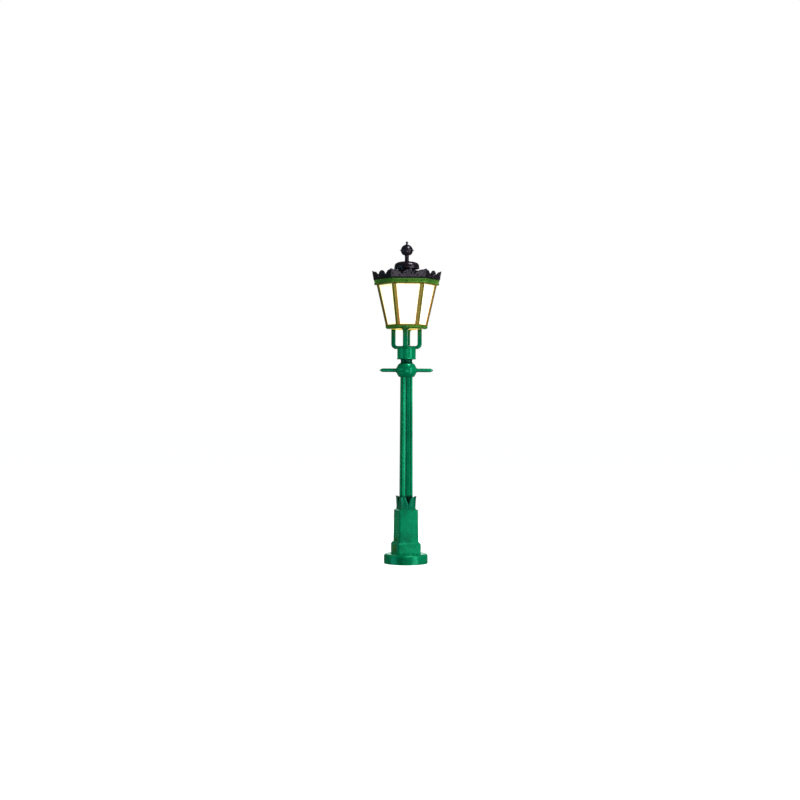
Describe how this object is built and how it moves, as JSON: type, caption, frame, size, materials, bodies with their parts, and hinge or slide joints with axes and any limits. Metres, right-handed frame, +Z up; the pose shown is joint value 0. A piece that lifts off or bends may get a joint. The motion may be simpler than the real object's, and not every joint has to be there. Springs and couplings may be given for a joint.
{
  "type": "street lamp",
  "caption": "Cast-iron park street lamp: fluted post on a square pedestal, ladder bar, cradle and a hexagonal glazed lantern with a crested, hinged hood.",
  "frame": {"origin": "centre of the base drum's underside, on the ground", "axes": "+Z up the post, -Y towards the lantern's front pane, +X along the ladder bar"},
  "size_m": [0.7172, 0.6223, 3.296],
  "materials": {
    "green_iron": "glossy green paint on cast iron",
    "black_iron": "glossy black paint on cast iron",
    "plain_steel": "zinc-plated",
    "brass": "worn brass",
    "opal_glass": "white opal, lit from inside",
    "lamp_glass": "frosted bulb",
    "porcelain": "glazed porcelain",
    "bakelite": "moulded, satin",
    "board_wood": "varnished board",
    "white_enamel": "white stove enamel",
    "cable_rubber": "matt sheath"
  },
  "bodies": {
    "post": {"base_drum": "green_iron", "plinth": "green_iron", "pedestal": "green_iron", "tie_bolts": "plain_steel", "door_hinge_pins": "plain_steel", "backboard": "board_wood", "backboard_screws": "plain_steel", "cutout_base": "bakelite", "earth_stud": "brass", "column": "green_iron", "column_bolts": "plain_steel", "leaf_collar": "green_iron", "ladder_boss": "green_iron", "ladder_bar_left": "green_iron", "ladder_bar_right": "green_iron", "neck": "green_iron", "lantern_collar": "green_iron", "collar_grub_screws": "plain_steel", "cradle": "green_iron", "cradle_bolts": "plain_steel", "lower_rim": "green_iron", "cradle_rim_screws": "plain_steel", "floor_pane": "opal_glass", "lamp_stem": "brass", "lampholder": "porcelain", "lamp": "lamp_glass", "junction_block": "porcelain", "riser_cable": "cable_rubber", "corner_bars": "green_iron", "pane_1": "opal_glass", "pane_2": "opal_glass", "pane_3": "opal_glass", "pane_4": "opal_glass", "pane_5": "opal_glass", "pane_6": "opal_glass", "upper_rim": "green_iron", "hinge_lower": "green_iron", "hinge_pins": "plain_steel"},
    "door": {"service_door": "green_iron"},
    "door_lock": {"lock_barrel": "brass", "lock_cam": "plain_steel"},
    "fuse": {"fuse_carrier": "porcelain"},
    "hood": {"hinge_upper": "black_iron", "hood": "black_iron", "hood_keeper": "plain_steel", "cresting": "black_iron", "reflector": "white_enamel", "reflector_screws": "plain_steel", "vent_ring": "black_iron", "vent_bolts": "plain_steel", "dome": "black_iron", "finial_stem": "black_iron", "finial_bowl": "black_iron", "finial_ring": "black_iron", "finial_cap": "black_iron", "finial_knob": "black_iron", "finial_rod": "plain_steel"},
    "hood_latch": {"latch_knob": "brass", "latch_cam": "plain_steel"}
  },
  "joints": [
    {"name": "door_hinge", "type": "hinge", "parent": "post", "child": "door", "pos_m": [-0.09686, 0.09103, 0.385], "axis": [0, 0, 1], "range_deg": [0, 110]},
    {"name": "door_lock_turn", "type": "hinge", "parent": "door", "child": "door_lock", "pos_m": [0.01172, 0.11081, 0.385], "axis": [-0.2588, 0.9659, 0], "range_deg": [0, 90]},
    {"name": "fuse_pull", "type": "slide", "parent": "post", "child": "fuse", "axis": [-0.2588, 0.9659, 0], "range_m": [0, 0.03]},
    {"name": "hood_hinge", "type": "hinge", "parent": "post", "child": "hood", "pos_m": [0, 0.30472, 2.886], "axis": [-1, 0, 0], "range_deg": [0, 95]},
    {"name": "hood_latch_turn", "type": "hinge", "parent": "post", "child": "hood_latch", "pos_m": [0, -0.29272, 2.868], "axis": [0, 1, 0], "range_deg": [0, 90]}
  ]
}
